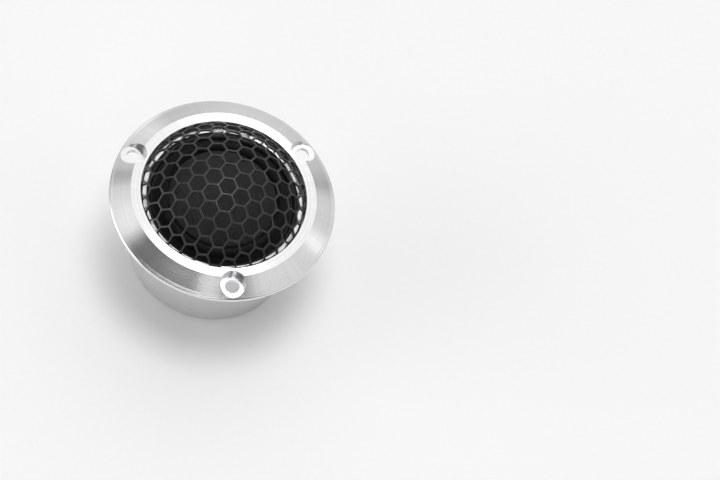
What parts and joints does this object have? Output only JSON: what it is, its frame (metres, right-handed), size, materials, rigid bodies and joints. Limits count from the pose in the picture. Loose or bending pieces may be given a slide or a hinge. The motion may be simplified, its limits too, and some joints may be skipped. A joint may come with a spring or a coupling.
{
  "type": "car tweeter",
  "caption": "Flush-mount car tweeter: turned metal flange with counterbored screw holes, domed hexagonal grille over a soft dome, cylindrical rear housing.",
  "frame": {"origin": "centre of the rear housing's flat rear face", "axes": "+Z out of the front through the grille; one mounting hole lies towards -Y"},
  "size_m": [0.06, 0.06, 0.0418],
  "materials": {
    "flange": "fine turned",
    "housing": "bead blasted",
    "grille": "satin black",
    "silk": "coated weave",
    "frame": "textured",
    "former": "satin",
    "copper": "satin",
    "steel": "zinc plated",
    "magnet": "nickel plated",
    "felt": "felt",
    "gasket": "matt",
    "cup": "moulded",
    "brass": "tinned",
    "wire_red": "insulation",
    "wire_black": "insulation",
    "screw": "black zinc"
  },
  "bodies": {
    "housing": {"front_flange": "flange", "grille": "grille", "rear_housing": "housing", "housing_gasket": "gasket", "diaphragm_frame": "frame", "surround": "silk", "top_plate": "steel", "magnet": "magnet", "shorting_ring": "copper", "yoke": "steel", "dome_damper": "felt", "vent_damper": "felt", "chamber_foam": "felt", "terminal_cup": "cup", "terminal_cup_gasket": "gasket", "terminal_cup_screws": "screw", "terminal_positive": "brass", "terminal_negative": "brass", "lead_wire_positive": "wire_red", "lead_wire_negative": "wire_black", "frame_tag_positive": "brass", "frame_tag_negative": "brass", "coil_lead_positive": "copper", "coil_lead_negative": "copper"},
    "diaphragm": {"dome": "silk", "coil_former": "former", "voice_coil": "copper"}
  },
  "joints": [
    {"name": "diaphragm_slide", "type": "slide", "parent": "housing", "child": "diaphragm", "axis": [0, 0, 1], "range_m": [-0.0004, 0.0004], "stiffness_N_per_m": 200, "deforming": ["surround", "coil_lead_positive", "coil_lead_negative"]}
  ]
}
